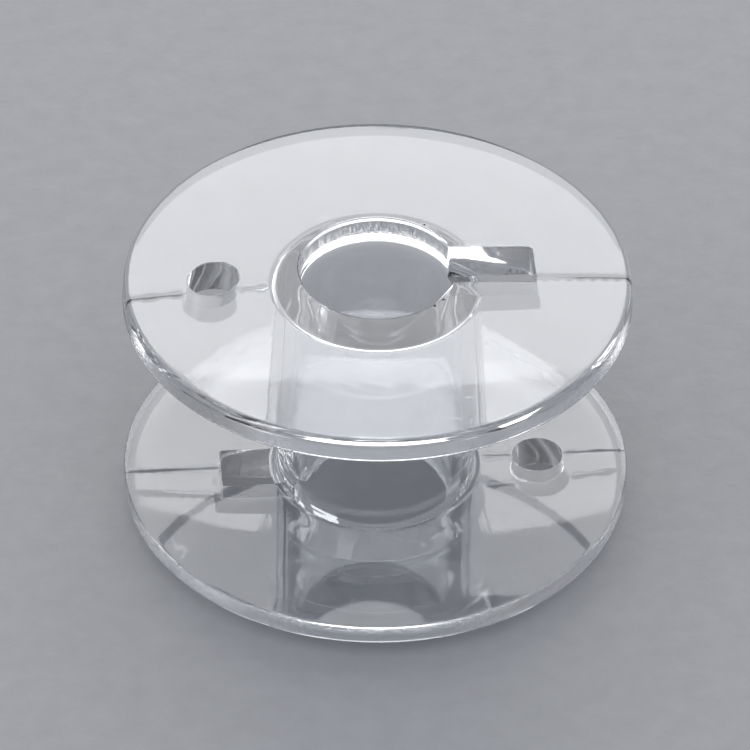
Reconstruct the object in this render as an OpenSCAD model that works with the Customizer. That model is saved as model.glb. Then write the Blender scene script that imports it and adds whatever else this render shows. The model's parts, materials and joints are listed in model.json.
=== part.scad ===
// Empty flanged bobbin for a domestic sewing machine, in clear moulded plastic.
// Two domed flanges on a hollow barrel. Each flange has a winder notch that
// opens into the bore and, opposite it, one thread hole. The lower flange is
// the upper flange turned over about the Y direction at mid height.
// Frame: +Z runs along the bore, the origin is on the bore axis at the plane
// of the bottom land, and +X passes through the notch of the upper flange.

/* [Overall] */
// Outside diameter of both flanges
flange_d = 20.3; // [19:0.1:22]
// Height from the bottom land to the top land
overall_h = 11.7; // [11:0.1:13]

/* [Flanges] */
// Thickness of a flange at its rim
rim_t = 0.95; // [0.8:0.05:1.2]
// Rise of the domed outer face from the rim to the land around the bore
dome_rise = 0.64; // [0.3:0.02:0.8]
// Radius of the rounded outer corner of the rim
rim_round = 0.33; // [0.1:0.01:0.5]

/* [Barrel] */
// Diameter of the bore
bore_d = 6.2; // [5.8:0.05:6.4]
// Radius of the rounded lead-in at each end of the bore
lead_in = 0.15; // [0.05:0.05:0.3]
// Outside diameter of the barrel between the flanges
barrel_d = 7.9; // [7.4:0.1:8.6]
// Radius of the fillet where the barrel meets a flange
root_fillet = 0.35; // [0.1:0.05:0.6]

/* [Winder notch] */
// Width of the notch
notch_w = 2.2; // [1.6:0.1:2.6]
// Distance from the bore axis to the closed end of the notch
notch_reach = 6.25; // [5.6:0.05:7]
// Corner radius at the closed end of the notch
notch_corner = 0.12; // [0.05:0.01:0.3]

/* [Thread hole] */
// Diameter of the thread hole
hole_d = 2.05; // [1.2:0.05:2.4]
// Distance from the bore axis to the centre of the thread hole
hole_pos = 6.55; // [6:0.05:7.5]

/* [Hidden] */
$fn = 96;
flange_color = [0.84, 0.86, 0.90, 0.45];
barrel_color = [0.78, 0.80, 0.85, 0.45];

// how far cutting shapes run past the faces they cut
margin = 1;
// small drop of the notch tool below a flange's inner face
overlap = 0.01;

flange_r = flange_d / 2;
bore_r = bore_d / 2;
barrel_r = barrel_d / 2;
// the collar is the end of the barrel inside a flange; its end face is the land
collar_r = barrel_r + root_fillet;

// inner faces of the flanges, which bound the winding space
flange_t = rim_t + dome_rise;
gap_bottom = flange_t;
gap_top = overall_h - flange_t;

// sphere of the domed face, through the land edge and the rim
dome_drop = ((pow(flange_r, 2) - pow(collar_r, 2)) / dome_rise + dome_rise) / 2;
dome_z = overall_h - dome_drop;
dome_r = norm([dome_drop, collar_r]);

// centre of the rim's rounded corner, tangent to the dome and to the rim wall
corner_r = flange_r - rim_round;
corner_dist = dome_r - rim_round;
corner_z = dome_z + sqrt(pow(corner_dist, 2) - pow(corner_r, 2));
// scale from the dome centre that carries the corner centre past the dome
past_dome = 1 + 2 * rim_round / corner_dist;

// half section of a flange ring, outside the barrel's collar
module flange_section() {
    // rim wall, up to the start of the rounded corner
    polygon([
        [collar_r, gap_top],
        [flange_r, gap_top],
        [flange_r, corner_z],
        [collar_r, corner_z]
    ]);
    // web under the dome
    intersection() {
        polygon([
            [collar_r, gap_top],
            [corner_r, gap_top],
            [corner_r, corner_z],
            [corner_r * past_dome, dome_z + (corner_z - dome_z) * past_dome],
            [collar_r, overall_h + margin]
        ]);
        translate([0, dome_z]) circle(r = dome_r, $fn = 720);
    }
    // rounded corner
    translate([corner_r, corner_z]) circle(r = rim_round);
}

// plan of the notch, from the bore axis to its closed end with rounded corners
module notch_plan() {
    corner_x = notch_reach - notch_corner;
    corner_y = notch_w / 2 - notch_corner;
    translate([0, -notch_w / 2]) square([corner_x, notch_w]);
    translate([0, -corner_y]) square([notch_reach, 2 * corner_y]);
    for (side = [-1, 1])
        translate([corner_x, side * corner_y])
            circle(r = notch_corner, $fn = 32);
}

// cuts upward from the inner face of the upper flange
module notch_tool() {
    translate([0, 0, gap_top])
        linear_extrude(height = flange_t + margin)
            notch_plan();
}

// a flange in the upper position
module flange() {
    difference() {
        rotate_extrude() flange_section();
        translate([0, 0, -overlap]) notch_tool();
        translate([-hole_pos, 0, gap_top - margin])
            cylinder(h = flange_t + 2 * margin, d = hole_d);
    }
}

// half section of the barrel: a tube with a collar at each end, filleted into
// the flanges, and a rounded lead-in at each end of the bore
module barrel_section() {
    fillet_bottom = gap_bottom + root_fillet;
    fillet_top = gap_top - root_fillet;
    difference() {
        translate([bore_r, 0]) square([collar_r - bore_r, overall_h]);
        // winding space, with the two root fillets left in its corners
        translate([barrel_r, fillet_bottom])
            square([collar_r, fillet_top - fillet_bottom]);
        for (z = [fillet_bottom, fillet_top])
            translate([collar_r, z]) circle(r = root_fillet);
        // corner blocks of the two lead-ins
        for (z = [-margin, overall_h - lead_in])
            translate([bore_r - margin, z])
                square([margin + lead_in, margin + lead_in]);
    }
    // rounds of the two lead-ins
    for (z = [lead_in, overall_h - lead_in])
        translate([bore_r + lead_in, z]) circle(r = lead_in);
}

// swaps top and bottom, and +X and -X
module turn_over() {
    translate([0, 0, overall_h]) rotate([0, 180, 0]) children();
}

module upper_flange() {
    color(flange_color) flange();
}

module barrel() {
    color(barrel_color)
        difference() {
            rotate_extrude() barrel_section();
            notch_tool();
            turn_over() notch_tool();
        }
}

module lower_flange() {
    color(flange_color) turn_over() flange();
}

upper_flange();
barrel();
lower_flange();
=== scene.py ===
"""Empty clear plastic sewing bobbin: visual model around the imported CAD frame.

The bobbin stands on the floor with its bore along Z. The upper flange has a notch that opens
into the bore towards +X, and a thread hole on the X axis. Only the upper half is modelled; the
lower half is the same skin turned over about the Y axis at mid height.
Shapes are worked out in millimetres and written to the meshes in metres.
"""
import json
import math

import bmesh
import bpy
from mathutils import Matrix, Vector
from mathutils.geometry import delaunay_2d_cdt


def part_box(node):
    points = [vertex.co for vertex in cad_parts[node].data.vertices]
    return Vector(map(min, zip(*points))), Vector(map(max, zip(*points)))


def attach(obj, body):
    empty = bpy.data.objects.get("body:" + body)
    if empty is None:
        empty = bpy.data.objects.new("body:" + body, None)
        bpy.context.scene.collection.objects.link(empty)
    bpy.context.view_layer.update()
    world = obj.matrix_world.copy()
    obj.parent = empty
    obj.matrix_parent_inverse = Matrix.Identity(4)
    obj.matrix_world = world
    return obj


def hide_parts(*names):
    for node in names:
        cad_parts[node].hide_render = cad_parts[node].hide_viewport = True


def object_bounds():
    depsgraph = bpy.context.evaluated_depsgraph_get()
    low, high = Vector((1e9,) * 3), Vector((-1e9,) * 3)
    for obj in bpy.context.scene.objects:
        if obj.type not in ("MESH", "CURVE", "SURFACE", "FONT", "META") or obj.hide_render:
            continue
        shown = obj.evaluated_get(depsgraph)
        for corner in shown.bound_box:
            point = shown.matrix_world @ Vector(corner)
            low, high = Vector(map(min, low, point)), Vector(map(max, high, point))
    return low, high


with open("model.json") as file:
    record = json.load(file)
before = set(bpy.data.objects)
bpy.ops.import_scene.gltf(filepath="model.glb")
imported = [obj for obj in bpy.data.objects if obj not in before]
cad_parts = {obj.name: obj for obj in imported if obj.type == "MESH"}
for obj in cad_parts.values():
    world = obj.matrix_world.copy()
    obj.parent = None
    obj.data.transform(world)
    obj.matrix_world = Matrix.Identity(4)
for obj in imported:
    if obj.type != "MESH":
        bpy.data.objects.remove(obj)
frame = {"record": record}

cad_lo, cad_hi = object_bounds()

# ---------------------------------------------------------------- sizes, in mm
MM = 0.001                                  # one millimetre in metres
MOUNTS = {mount["name"]: mount for mount in frame["record"]["mounts"]}

HEIGHT = 1000.0 * cad_hi[2]                 # from land to land
FLANGE_R = 0.5 * (1000.0 * cad_hi[0] - 1000.0 * cad_lo[0])
COLLAR_R = 1000.0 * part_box("barrel")[1][0]  # seam between barrel and flange
INNER_Z = 1000.0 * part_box("upper_flange")[0][2]  # inner face of the upper flange
BORE_R = MOUNTS["bore"]["dims"]["r_mm"]
HOLE_R = MOUNTS["upper_thread_hole"]["dims"]["r_mm"]
HOLE_X = 1000.0 * MOUNTS["upper_thread_hole"]["pos_m"][0]

DOME_RISE = 0.64                            # from the flange radius up to the land
BLEND = 0.25                                # half width of the blend from land to dome
BLEND_FADE = 2.0                            # radial length over which its height step fades
FILLET = 0.35                               # root fillet under the collar
HUB_R = COLLAR_R - FILLET
NOTCH_HALF, NOTCH_END, NOTCH_CORNER = 1.10, 6.25, 0.12  # half width, far end in X, corner radius
MOUTH_R = 0.13                              # plan radius where the notch meets the bore
EDGE = 0.055                                # rounded edge of notch and hole
LEAD = 0.15                                 # larger rounded edge of the bore
LEAD_BLEND = math.radians(13)               # arc over which EDGE grows to LEAD
RIM_ROUND = 0.33                            # rounded outer corner of the rim
WALL_R = FLANGE_R - 0.030                   # rim wall, inside the flash line
DRAFT = math.tan(math.radians(0.35))        # slope of the inner faces, away from the X axis
DRAFT_FLAT = 0.03                           # half width of the level strip along the X axis
DRAFT_FADE = 0.5                            # height over which the rim takes up the draft
RIDGE = 0.018                               # height of the parting line

# mesh steps
BASE_STEPS, RIM_STEPS, HOLE_STEPS = 240, 400, 96   # around the bore and barrel, rim, hole
EDGE_STEPS, ROUND_STEPS, FILLET_STEPS, TUBE_STEPS = 5, 8, 7, 6
CUT_STATIONS = (0.34, 0.67)                 # extra rings up the walls of notch, bore and hole
SLACK = 0.002                               # tolerance when sorting triangles at an outline

# ---------------------------------------------------------------- heights of the faces
dome_drop = ((FLANGE_R * FLANGE_R - COLLAR_R * COLLAR_R) / DOME_RISE + DOME_RISE) / 2
dome_z = HEIGHT - dome_drop
dome_r = math.hypot(dome_drop, COLLAR_R)


def dome(r):
    return dome_z + math.sqrt(dome_r * dome_r - r * r)


blend_end = COLLAR_R + BLEND
blend_slope = blend_end / math.sqrt(dome_r ** 2 - blend_end ** 2)
blend_step = dome(blend_end) - (HEIGHT - blend_slope * BLEND)


def top_z(x, y):
    """Outer face: flat land, parabolic blend, dome."""
    r = math.hypot(x, y)
    if r <= COLLAR_R - BLEND:
        return HEIGHT
    if r >= blend_end:
        return dome(r) - blend_step * max(0.0, 1 - (r - COLLAR_R - BLEND) / BLEND_FADE)
    return HEIGHT - 0.5 * (blend_slope / (2 * BLEND)) * (r - COLLAR_R + BLEND) ** 2


def inner_z(x, y):
    return INNER_Z + DRAFT * max(0.0, abs(y) - DRAFT_FLAT)


# ---------------------------------------------------------------- welded skin
CLEAR, SATIN, BOND = 0, 1, 2                # material slots


class Skin:
    """Faces over shared points; points that agree to 0.0001 mm are one."""

    def __init__(self):
        self.index, self.points, self.faces = {}, [], []

    def point(self, x, y, z):
        key = (round(x, 4), round(y, 4), round(z, 4))
        if key not in self.index:
            self.index[key] = len(self.points)
            self.points.append((x, y, z))
        return self.index[key]

    def face(self, ids, piece, slot):
        corners = []
        for i in ids:
            if not corners or corners[-1] != i:
                corners.append(i)
        if len(corners) > 1 and corners[0] == corners[-1]:
            corners.pop()
        if len(corners) >= 3:
            self.faces.append((tuple(corners), piece, slot))


skin = Skin()


def piece_at(x, y):
    return "barrel" if math.hypot(x, y) < COLLAR_R else "upper_flange"


def band(lower, upper, piece=None, slot=CLEAR):
    """Closed strip between two rings; without a piece, the seam radius decides face by face."""
    for i in range(len(lower)):
        j = (i + 1) % len(lower)
        p, q = lower[i], lower[j]
        owner = piece or piece_at(0.5 * (p[0] + q[0]), 0.5 * (p[1] + q[1]))
        corners = (p, q, upper[j], upper[i])
        skin.face([skin.point(*c) for c in corners], owner, slot)


def bands(rings, piece=None):
    for lower, upper in zip(rings[:-1], rings[1:]):
        band(lower, upper, piece)


def steps(start, end, count):
    return [start + (end - start) * k / count for k in range(count + 1)]


def polar(r, angle):
    return r * math.cos(angle), r * math.sin(angle)


def ring_on(height, r, angles):
    """Points at radius r, lying on the face given by height(x, y)."""
    return [(*polar(r, a), height(*polar(r, a))) for a in angles]


# ---------------------------------------------------------------- angles
def circle(count):
    return [2 * math.pi * i / count for i in range(count)]


def gap(a, b):
    return abs((a - b + math.pi) % (2 * math.pi) - math.pi)


def angle_set(specials, clearance):
    """Even angles plus the special ones mirrored in X and Y; even ones too close give way."""
    fixed = []
    for special in specials:
        for a in (special, -special, math.pi - special, math.pi + special):
            a %= 2 * math.pi
            if all(gap(a, other) > 1e-9 for other in fixed):
                fixed.append(a)
    even = [a for a in circle(BASE_STEPS) if all(gap(a, other) > clearance for other in fixed)]
    return sorted(even + fixed)


mouth_y = NOTCH_HALF + MOUTH_R              # centre of the plan radius at the mouth
mouth_x = math.sqrt((BORE_R + MOUTH_R) ** 2 - mouth_y * mouth_y)
mouth_angle = math.atan2(mouth_y, mouth_x)  # where the bore's arc ends
seam_angle = math.asin(NOTCH_HALF / COLLAR_R)  # where the notch side meets the collar
BORE_ANGLES = angle_set([mouth_angle, 0.0], math.radians(0.7))
BARREL_ANGLES = angle_set([seam_angle, 0.0, math.radians(0.45)], math.radians(1.1))
SEAM_ANGLES = [a for a in BARREL_ANGLES
               if seam_angle + 1e-6 < a < 2 * math.pi - seam_angle - 1e-6]
RIM_ANGLES = circle(RIM_STEPS)


def across_notch(angles, half):
    """The angles within half of the +X axis, from -Y to +Y."""
    return sorted(a if a < math.pi else a - 2 * math.pi for a in angles
                  if a < half + 1e-6 or a > 2 * math.pi - half - 1e-6)


# ---------------------------------------------------------------- outlines of the cuts
# An outline is a list of (place, edge radius), where place(offset) gives x and y at an offset
# into the plastic.
def arc_place(centre_x, centre_y, r, angle, sign=1):
    def place(offset):
        reach = r + sign * offset
        return centre_x + reach * math.cos(angle), centre_y + reach * math.sin(angle)
    return place


def side_place(x, side):
    return lambda offset: (x, side * (NOTCH_HALF + offset))


def half_notch(side):
    """Places from the bore to the end of the notch, on its +Y (side 1) or -Y side (side -1)."""
    cy = side * mouth_y
    start = math.atan2(-cy, -mouth_x)       # from the corner's centre towards the bore's axis
    turn = (-side * math.pi / 2 - start + math.pi) % (2 * math.pi) - math.pi
    places = [arc_place(mouth_x, cy, MOUTH_R, start + turn * k / 6, sign=-1) for k in range(1, 7)]

    seam_x = math.sqrt(COLLAR_R ** 2 - NOTCH_HALF ** 2)
    corner_x = NOTCH_END - NOTCH_CORNER
    places += [side_place(x, side) for x in steps(mouth_x, seam_x, 5)[1:-1]]
    places.append(lambda offset: (math.sqrt(COLLAR_R ** 2 - (NOTCH_HALF + offset) ** 2),
                                  side * (NOTCH_HALF + offset)))
    places += [side_place(x, side) for x in steps(seam_x, corner_x, 9)[1:-1]]

    places += [arc_place(corner_x, side * corner_y, NOTCH_CORNER, a)
               for a in steps(side * math.pi / 2, 0.0, 5)]
    return places


def end_place(y):
    return lambda offset: (NOTCH_END + offset, y)


def bore_edge(angle):
    """Edge radius of the bore: EDGE at the mouth, eased up to LEAD."""
    from_mouth = min(angle - mouth_angle, 2 * math.pi - mouth_angle - angle)
    t = min(1.0, max(0.0, from_mouth / LEAD_BLEND))
    return EDGE + (LEAD - EDGE) * (t * t * (3 - 2 * t))


def cut_rings(outline):
    """Rings from the inner face up the wall and over the rounded edge."""
    edge_rings = []
    for t in steps(0.0, 0.5 * math.pi, EDGE_STEPS):
        ring = []
        for place, edge in outline:
            x, y = place(edge * (1 - math.cos(t)))
            ring.append((x, y, top_z(x, y) - edge * (1 - math.sin(t))))
        edge_rings.append(ring)
    foot = [(x, y, inner_z(x, y)) for x, y in (place(0.0) for place, _ in outline)]
    wall = [[(a[0], a[1], a[2] + t * (b[2] - a[2])) for a, b in zip(foot, edge_rings[0])]
            for t in CUT_STATIONS]
    return [foot] + wall + edge_rings


# ---------------------------------------------------------------- wall of bore and notch
corner_y = NOTCH_HALF - NOTCH_CORNER
outline = [(arc_place(0.0, 0.0, BORE_R, a), bore_edge(a)) for a in BORE_ANGLES
           if mouth_angle - 1e-9 <= a <= 2 * math.pi - mouth_angle + 1e-9]
bore_count = len(outline)
notch_end = [end_place(y) for y in steps(-corner_y, corner_y, 8)[1:-1]]
outline += [(place, EDGE) for place in half_notch(-1) + notch_end + half_notch(1)[::-1]]

notch_rings = cut_rings(outline)
notch_foot, notch_top = notch_rings[0], notch_rings[-1]
bands(notch_rings)

# indices where the outline crosses the seam, on the -Y and the +Y side
seam_low, seam_high = [i for i, (x, y, z) in enumerate(notch_foot)
                       if abs(math.hypot(x, y) - COLLAR_R) < 1e-6]


# ---------------------------------------------------------------- rim
def rim_profile():
    """(radius, z) from the dome over the rounded corner, down the wall and over the flash."""
    round_r = WALL_R - RIM_ROUND
    round_z = dome_z + math.sqrt((dome_r - RIM_ROUND) ** 2 - round_r ** 2)
    start = math.atan2(round_r, round_z - dome_z)
    wall_end = INNER_Z + 0.10
    profile = [(round_r + RIM_ROUND * math.sin(t), round_z + RIM_ROUND * math.cos(t))
               for t in steps(start, 0.5 * math.pi, ROUND_STEPS)]
    profile += [(WALL_R, round_z + t * (wall_end - round_z)) for t in (0.2, 0.4, 0.6, 0.8)]
    profile += [
        (WALL_R, wall_end),
        (FLANGE_R - 0.008, INNER_Z + 0.085),
        (FLANGE_R, INNER_Z + 0.06),
        (FLANGE_R - 0.004, INNER_Z + 0.03),
        (WALL_R - 0.015, INNER_Z + 0.008),
    ]
    return profile


def rim_ring(r, z):
    share = max(0.0, min(1.0, (INNER_Z + DRAFT_FADE - z) / DRAFT_FADE))
    ring = []
    for a in RIM_ANGLES:
        x, y = polar(r, a)
        ring.append((x, y, z + (inner_z(x, y) - INNER_Z) * share))
    return ring


profile = rim_profile()
RIM_TOP_R = profile[0][0]
RIM_FOOT_R = profile[-1][0] - 0.03
rim_rings = [rim_ring(r, z) for r, z in profile]
for k in range(1, len(rim_rings)):
    band(rim_rings[k - 1], rim_rings[k], "upper_flange", SATIN if k > ROUND_STEPS else CLEAR)
rim_top = rim_rings[0]
rim_foot = ring_on(inner_z, RIM_FOOT_R, RIM_ANGLES)
band(rim_rings[-1], rim_foot, "upper_flange")

# ---------------------------------------------------------------- thread hole
hole_rings = cut_rings([(arc_place(HOLE_X, 0.0, HOLE_R, a), EDGE) for a in circle(HOLE_STEPS)])
bands(hole_rings, "upper_flange")


# ---------------------------------------------------------------- triangulated faces
def patch(loops, paths, free, height, keep, piece=None):
    """Triangulates closed loops and open paths of 3-D points with free (x, y) points at
    height(x, y), and keeps the triangles whose centre passes keep(x, y)."""
    flat, source, edges, seen = [], [], [], {}

    def add(p):
        key = (round(p[0], 4), round(p[1], 4))
        if key not in seen:
            seen[key] = len(flat)
            flat.append(Vector((p[0], p[1])))
            source.append(p)
        return seen[key]

    for path in [loop + loop[:1] for loop in loops] + paths:
        ids = [add(p) for p in path]
        edges += list(zip(ids[:-1], ids[1:]))
    for x, y in free:
        add((x, y, height(x, y)))
    verts, _, faces, origins, _, _ = delaunay_2d_cdt(flat, edges, [], 0, 1e-7, True)
    ids = []
    for v, origin in zip(verts, origins):
        ids.append(skin.point(*(source[origin[0]] if origin else (v.x, v.y, height(v.x, v.y)))))
    for face in faces:
        x = sum(verts[i].x for i in face) / len(face)
        y = sum(verts[i].y for i in face) / len(face)
        if keep(x, y):
            skin.face([ids[i] for i in face], piece or piece_at(x, y), CLEAR)


def ring_grid(inner, outer, step, keep):
    """Staggered rings of free points, about one step apart."""
    count = max(1, round((outer - inner) / step))
    points = []
    for k, r in enumerate(steps(inner, outer, count)):
        around = max(24, int(2 * math.pi * r / (step * 1.15)))
        for i in range(around):
            x, y = polar(r, 2 * math.pi * (i + 0.5 * (k % 2)) / around)
            if keep(x, y):
                points.append((x, y))
    return points


def clear_of_cuts(x, y, margin):
    in_notch = x > 0 and abs(y) < NOTCH_HALF + margin and x < NOTCH_END + margin
    return not in_notch and not math.hypot(x - HOLE_X, y) < HOLE_R + margin


# outer face of flange and land
def on_top(x, y):
    r = math.hypot(x, y)
    in_lead = (r < BORE_R + LEAD - 0.01
               and abs(math.atan2(y, x)) > mouth_angle + LEAD_BLEND)
    return r > BORE_R + 0.01 and clear_of_cuts(x, y, -SLACK) and not in_lead


def free_on_top(x, y):
    return clear_of_cuts(x, y, EDGE + 0.10)


TOP_GAP = 0.12                              # free points stay this far from seam and rim
seam_crest = ring_on(top_z, COLLAR_R, SEAM_ANGLES)
free = ring_grid(BORE_R + LEAD + 0.16, COLLAR_R - TOP_GAP, 0.17, free_on_top)
free += ring_grid(COLLAR_R + TOP_GAP, RIM_TOP_R - TOP_GAP, 0.22, free_on_top)
patch([rim_top, notch_top, hole_rings[-1]],
      [[notch_top[seam_high]] + seam_crest + [notch_top[seam_low]]],
      free, top_z, on_top)

# inner face of the flange, with the parting line raised along the X axis
LINE_STEP, LINE_HALF, LINE_GAP = 0.16, 0.04, 0.03  # point spacing, half width, gap at cuts
seam_foot = ring_on(inner_z, COLLAR_R, SEAM_ANGLES)
paths = []
for x0, x1 in ((-RIM_FOOT_R + 0.02, HOLE_X - HOLE_R - LINE_GAP),
               (HOLE_X + HOLE_R + LINE_GAP, -COLLAR_R - LINE_GAP),
               (NOTCH_END + LINE_GAP, RIM_FOOT_R - 0.02)):
    xs = steps(x0, x1, max(2, int((x1 - x0) / LINE_STEP)))
    for y, ridge in ((-LINE_HALF, 0.0), (0.0, RIDGE), (LINE_HALF, 0.0)):
        paths.append([(x, y, inner_z(x, y) - ridge) for x in xs])
patch([rim_foot, seam_foot + notch_foot[seam_low:seam_high + 1], hole_rings[0]], paths,
      ring_grid(COLLAR_R + 0.16, RIM_FOOT_R - 0.14, 0.24,
                lambda x, y: clear_of_cuts(x, y, 0.12) and abs(y) > 0.16),
      inner_z,
      lambda x, y: math.hypot(x, y) > COLLAR_R - SLACK and clear_of_cuts(x, y, -SLACK),
      "upper_flange")


# floor of the notch over the barrel's wall
def on_floor(x, y):
    in_corner = (abs(y) > NOTCH_HALF - 1e-4
                 and math.hypot(x - mouth_x, abs(y) - mouth_y) < MOUTH_R - 1e-3)
    return (BORE_R - 1e-3 < math.hypot(x, y) < COLLAR_R + 1e-3
            and x > 0 and abs(y) < NOTCH_HALF + MOUTH_R and not in_corner)


arc_in = ring_on(inner_z, BORE_R, across_notch(BORE_ANGLES, mouth_angle))
arc_out = ring_on(inner_z, COLLAR_R, across_notch(BARREL_ANGLES, seam_angle))
floor_loop = (arc_out + notch_foot[seam_high + 1:] + notch_foot[:1] + arc_in[::-1][1:]
              + notch_foot[bore_count:seam_low])
free = [(x, y) for x in (3.35, 3.6, 3.85, 4.05)
        for y in (-0.8, -0.55, -0.3, 0.0, 0.3, 0.55, 0.8)
        if math.hypot(x, y) < COLLAR_R - 0.1]
patch([floor_loop], [], free, inner_z, on_floor, "barrel")

# ---------------------------------------------------------------- barrel, down to mid height
# bore
bore_rings = [ring_on(inner_z, BORE_R, BORE_ANGLES)]
for z in steps(INNER_Z, HEIGHT / 2, TUBE_STEPS)[1:]:
    bore_rings.append([(*polar(BORE_R, a), z) for a in BORE_ANGLES])
bands(bore_rings, "barrel")

# outside, fillet first: (radius, z, share of the draft)
stations = [(COLLAR_R - FILLET * math.sin(t), INNER_Z - FILLET + FILLET * math.cos(t), math.cos(t))
            for t in steps(0.0, 0.5 * math.pi, FILLET_STEPS)]
stations += [(HUB_R, z, 0.0) for z in steps(INNER_Z - FILLET, HEIGHT / 2, TUBE_STEPS)[1:]]
hub_rings = []
for k, (r, z, share) in enumerate(stations):
    ring = []
    for a in BARREL_ANGLES:
        on_parting_line = abs(math.sin(a)) < 1e-6 and k > 3
        x, y = polar(r + RIDGE if on_parting_line else r, a)
        ring.append((x, y, z + (inner_z(x, y) - INNER_Z) * share))
    hub_rings.append(ring)
bands(hub_rings, "barrel")

# ---------------------------------------------------------------- bond at the seam
# one face for each of the two pieces; the end columns follow the notch wall
columns = [[seam_foot[i], seam_foot[i + 1], seam_crest[i + 1], seam_crest[i]]
           for i in range(len(seam_foot) - 1)]
columns.append([seam_foot[0], seam_crest[0]] + [ring[seam_high] for ring in notch_rings[::-1]])
columns.append([seam_foot[-1]] + [ring[seam_low] for ring in notch_rings] + [seam_crest[-1]])
for column in columns:
    ids = [skin.point(*p) for p in column]
    skin.face(ids, "upper_flange", BOND)
    skin.face(ids, "barrel", BOND)


# ---------------------------------------------------------------- pieces
def build(name, piece, turns):
    """Mesh of one piece's faces, once for each entry of turns; True turns them over."""
    mesh = bpy.data.meshes.new(name)
    bm = bmesh.new()
    for turned in turns:
        made = {}
        for ids, owner, slot in skin.faces:
            if owner != piece:
                continue
            for i in ids:
                if i not in made:
                    x, y, z = skin.points[i]
                    if turned:
                        x, z = -x, HEIGHT - z
                    made[i] = bm.verts.new((x * MM, y * MM, z * MM))
            try:
                face = bm.faces.new([made[i] for i in ids])
            except ValueError:              # guards against repeated faces or repeated corners
                continue
            face.material_index = slot
            face.smooth = True
    bmesh.ops.remove_doubles(bm, verts=bm.verts, dist=2e-7)
    bmesh.ops.recalc_face_normals(bm, faces=bm.faces)
    bm.to_mesh(mesh)
    bm.free()
    obj = bpy.data.objects.new(name, mesh)
    bpy.context.scene.collection.objects.link(obj)
    mesh.set_sharp_from_angle(angle=math.radians(38))
    return obj


upper = build("clear_upper_flange", "upper_flange", [False])
barrel = build("clear_barrel", "barrel", [False, True])
lower = build("clear_lower_flange", "upper_flange", [True])


# ---------------------------------------------------------------- materials
class Shader:
    def __init__(self, name):
        self.material = bpy.data.materials.new(name)
        self.material.use_nodes = True
        self.tree = self.material.node_tree
        self.tree.nodes.clear()

    def node(self, kind, inputs=None, out=0, **settings):
        """Adds a node; each input is a value or a socket to link. Returns one output."""
        node = self.tree.nodes.new(kind)
        for key, value in settings.items():
            setattr(node, key, value)
        for key, value in (inputs or {}).items():
            if isinstance(value, bpy.types.NodeSocket):
                self.tree.links.new(value, node.inputs[key])
            else:
                node.inputs[key].default_value = value
        return node.outputs[out]

    def object_coords(self):
        return self.node("ShaderNodeTexCoord", out="Object")

    def math(self, operation, *values):
        return self.node("ShaderNodeMath", dict(enumerate(values)), operation=operation)

    def scaled(self, value, gain, base=None):
        if base is None:
            return self.math("MULTIPLY", value, gain)
        return self.math("MULTIPLY_ADD", value, gain, base)

    def above(self, value, threshold):
        return self.math("GREATER_THAN", value, threshold)

    def noise(self, vector, scale, detail, rough=0.55, distortion=0.0):
        return self.node("ShaderNodeTexNoise", {
            "Vector": vector, "Scale": scale, "Detail": detail,
            "Roughness": rough, "Distortion": distortion})

    def bump(self, height, strength, distance):
        return self.node("ShaderNodeBump", {
            "Height": height, "Strength": strength, "Distance": distance})

    def finish(self, surface):
        output = self.tree.nodes.new("ShaderNodeOutputMaterial")
        self.tree.links.new(surface, output.inputs["Surface"])
        return self.material


def clear_plastic(shader, rough, bump):
    """Clear moulded styrene that lets light through to the floor as thin plastic does."""
    plastic = shader.node("ShaderNodeBsdfPrincipled", {
        "IOR": 1.585,
        "Transmission Weight": 1.0,
        "Base Color": (0.955, 0.965, 0.985, 1),
        "Roughness": rough,
        "Normal": bump})
    shadow = shader.node("ShaderNodeBsdfTransparent", {"Color": (0.86, 0.87, 0.89, 1)})
    is_shadow = shader.node("ShaderNodeLightPath", out="Is Shadow Ray")
    return shader.finish(shader.node("ShaderNodeMixShader", {0: is_shadow, 1: plastic, 2: shadow}))


def polished_plastic():
    """Polished faces with flow haze and hairline scratches."""
    shader = Shader("clear_plastic_polished")
    coords = shader.object_coords()
    flow = shader.noise(coords, scale=260.0, detail=3.0, rough=0.5, distortion=0.6)
    # scratches: stretched noise, broken up by a second one
    stretched = shader.node("ShaderNodeMapping", {
        "Vector": coords, "Rotation": (0.2, 0.1, 0.55), "Scale": (300.0, 5200.0, 900.0)})
    lines = shader.above(shader.noise(stretched, scale=1.0, detail=2.0, rough=0.5), threshold=0.71)
    breaks = shader.above(shader.noise(coords, scale=900.0, detail=2.0), threshold=0.60)
    scratch = shader.math("MULTIPLY", lines, breaks)
    rough = shader.scaled(flow, gain=0.05, base=0.012)
    rough = shader.scaled(scratch, gain=0.12, base=rough)
    height = shader.math("ADD", shader.scaled(flow, gain=1.0), shader.scaled(scratch, gain=-0.02))
    return clear_plastic(shader, rough, shader.bump(height, strength=0.35, distance=0.00002))


def satin_plastic():
    """Satin wall of the rim, with a fine grain."""
    shader = Shader("clear_plastic_satin_rim")
    coords = shader.object_coords()
    fine = shader.noise(coords, scale=5200.0, detail=3.0, rough=0.6)
    rough = shader.scaled(fine, gain=0.18, base=0.10)
    grain = shader.noise(coords, scale=3800.0, detail=4.0, rough=0.65)
    finer = shader.noise(coords, scale=9000.0, detail=2.0)
    height = shader.math("ADD", grain, shader.scaled(finer, gain=0.5))
    return clear_plastic(shader, rough, shader.bump(height, strength=0.55, distance=0.00006))


def bond_inside():
    """Invisible: the bonded faces lie inside the plastic."""
    shader = Shader("bond_inside_plastic")
    return shader.finish(shader.node("ShaderNodeBsdfTransparent"))


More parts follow.
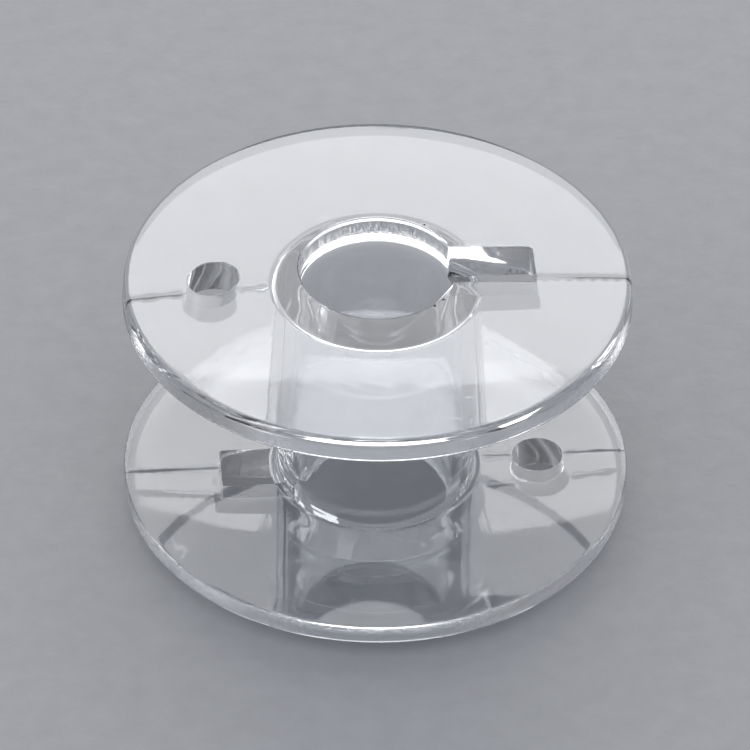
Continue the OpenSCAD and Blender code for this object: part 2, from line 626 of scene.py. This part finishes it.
def pale_floor():
    shader = Shader("pale_floor")
    grain = shader.noise(shader.object_coords(), scale=900.0, detail=5.0, rough=0.6)
    color = shader.node("ShaderNodeValToRGB", {0: grain})
    dark, light = color.node.color_ramp.elements
    dark.position, dark.color = 0.3, (0.555, 0.56, 0.58, 1)
    light.position, light.color = 0.7, (0.60, 0.605, 0.625, 1)
    return shader.finish(shader.node("ShaderNodeBsdfPrincipled", {
        "Base Color": color,
        "Roughness": 0.85,
        "Normal": shader.bump(grain, strength=0.25, distance=0.0002)}))


plastics = (polished_plastic(), satin_plastic(), bond_inside())  # in slot order
for obj, node in ((upper, "upper_flange"), (barrel, "barrel"), (lower, "lower_flange")):
    for material in plastics:
        obj.data.materials.append(material)
    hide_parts(node)
    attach(obj, "root")

# ---------------------------------------------------------------- floor and world
FLOOR_GAP = 0.00002                         # metres below the lower land
bpy.ops.mesh.primitive_plane_add(size=2.0, location=(0, 0.2, cad_lo[2] - FLOOR_GAP))
floor = bpy.context.object
floor.name = "floor"
floor.data.materials.append(pale_floor())

scene = bpy.context.scene
world = bpy.data.worlds.new("studio")
scene.world = world
world.use_nodes = True
background = world.node_tree.nodes["Background"]
background.inputs["Color"].default_value = (0.80, 0.83, 0.90, 1)
background.inputs["Strength"].default_value = 0.30

# ---------------------------------------------------------------- lights
centre = Vector((0, 0, 0.5 * (cad_lo[2] + cad_hi[2])))


def softbox(name, azimuth, elevation, distance, size, power, color):
    """Area light aimed at the centre; azimuth 0 is +Y, positive towards +X. Degrees, metres."""
    light = bpy.data.lights.new(name, "AREA")
    light.shape = "RECTANGLE"
    light.size, light.size_y = size
    light.energy = power
    light.color = color
    obj = bpy.data.objects.new(name, light)
    az, el = math.radians(azimuth), math.radians(elevation)
    away = Vector((math.sin(az) * math.cos(el), math.cos(az) * math.cos(el), math.sin(el)))
    obj.location = centre + away * distance
    obj.rotation_euler = (-away).to_track_quat("-Z", "Y").to_euler()
    scene.collection.objects.link(obj)


softbox("key_window", azimuth=4, elevation=42, distance=0.60, size=(0.50, 0.44), power=1.9,
        color=(1.0, 1.0, 1.0))
softbox("fill_left", azimuth=-110, elevation=35, distance=0.70, size=(0.40, 0.40), power=0.45,
        color=(0.95, 0.97, 1.0))
softbox("fill_front", azimuth=170, elevation=60, distance=0.80, size=(0.50, 0.50), power=0.35,
        color=(1.0, 0.99, 0.97))

# ---------------------------------------------------------------- camera
CAMERA_ELEVATION = math.radians(39.93)
CAMERA_AZIMUTH = math.radians(5.0)          # from -Y towards -X
CAMERA_ROLL = math.radians(0.708)
CAMERA_DISTANCE = 40.0 * (FLANGE_R * MM)    # metres
LENS, SENSOR = 486.336, 36.0                # mm
SHIFT = (-0.00186667, 0.0072)               # parts of the frame's width


def add_camera():
    el, az = CAMERA_ELEVATION, CAMERA_AZIMUTH
    back = Vector((-math.sin(az) * math.cos(el), -math.cos(az) * math.cos(el), math.sin(el)))
    level = Vector((math.cos(az), -math.sin(az), 0.0))
    upright = back.cross(level)
    cos_roll, sin_roll = math.cos(CAMERA_ROLL), math.sin(CAMERA_ROLL)
    right = level * cos_roll + upright * sin_roll
    up = upright * cos_roll - level * sin_roll

    camera = bpy.data.cameras.new("camera")
    camera.sensor_width = SENSOR
    camera.lens = LENS
    camera.shift_x, camera.shift_y = SHIFT
    camera.clip_start, camera.clip_end = 0.01, 10.0
    obj = bpy.data.objects.new("camera", camera)
    turn = Matrix((right, up, back)).transposed().to_4x4()
    obj.matrix_world = Matrix.Translation(centre + back * CAMERA_DISTANCE) @ turn
    scene.collection.objects.link(obj)
    scene.camera = obj


add_camera()

# ---------------------------------------------------------------- render settings
scene.view_settings.view_transform = "Standard"
cycles = scene.cycles
cycles.max_bounces = 32
cycles.transmission_bounces = 32
cycles.glossy_bounces = 16
cycles.diffuse_bounces = 4
cycles.transparent_max_bounces = 32
cycles.caustics_reflective = False
cycles.caustics_refractive = False
cycles.sample_clamp_indirect = 6.0
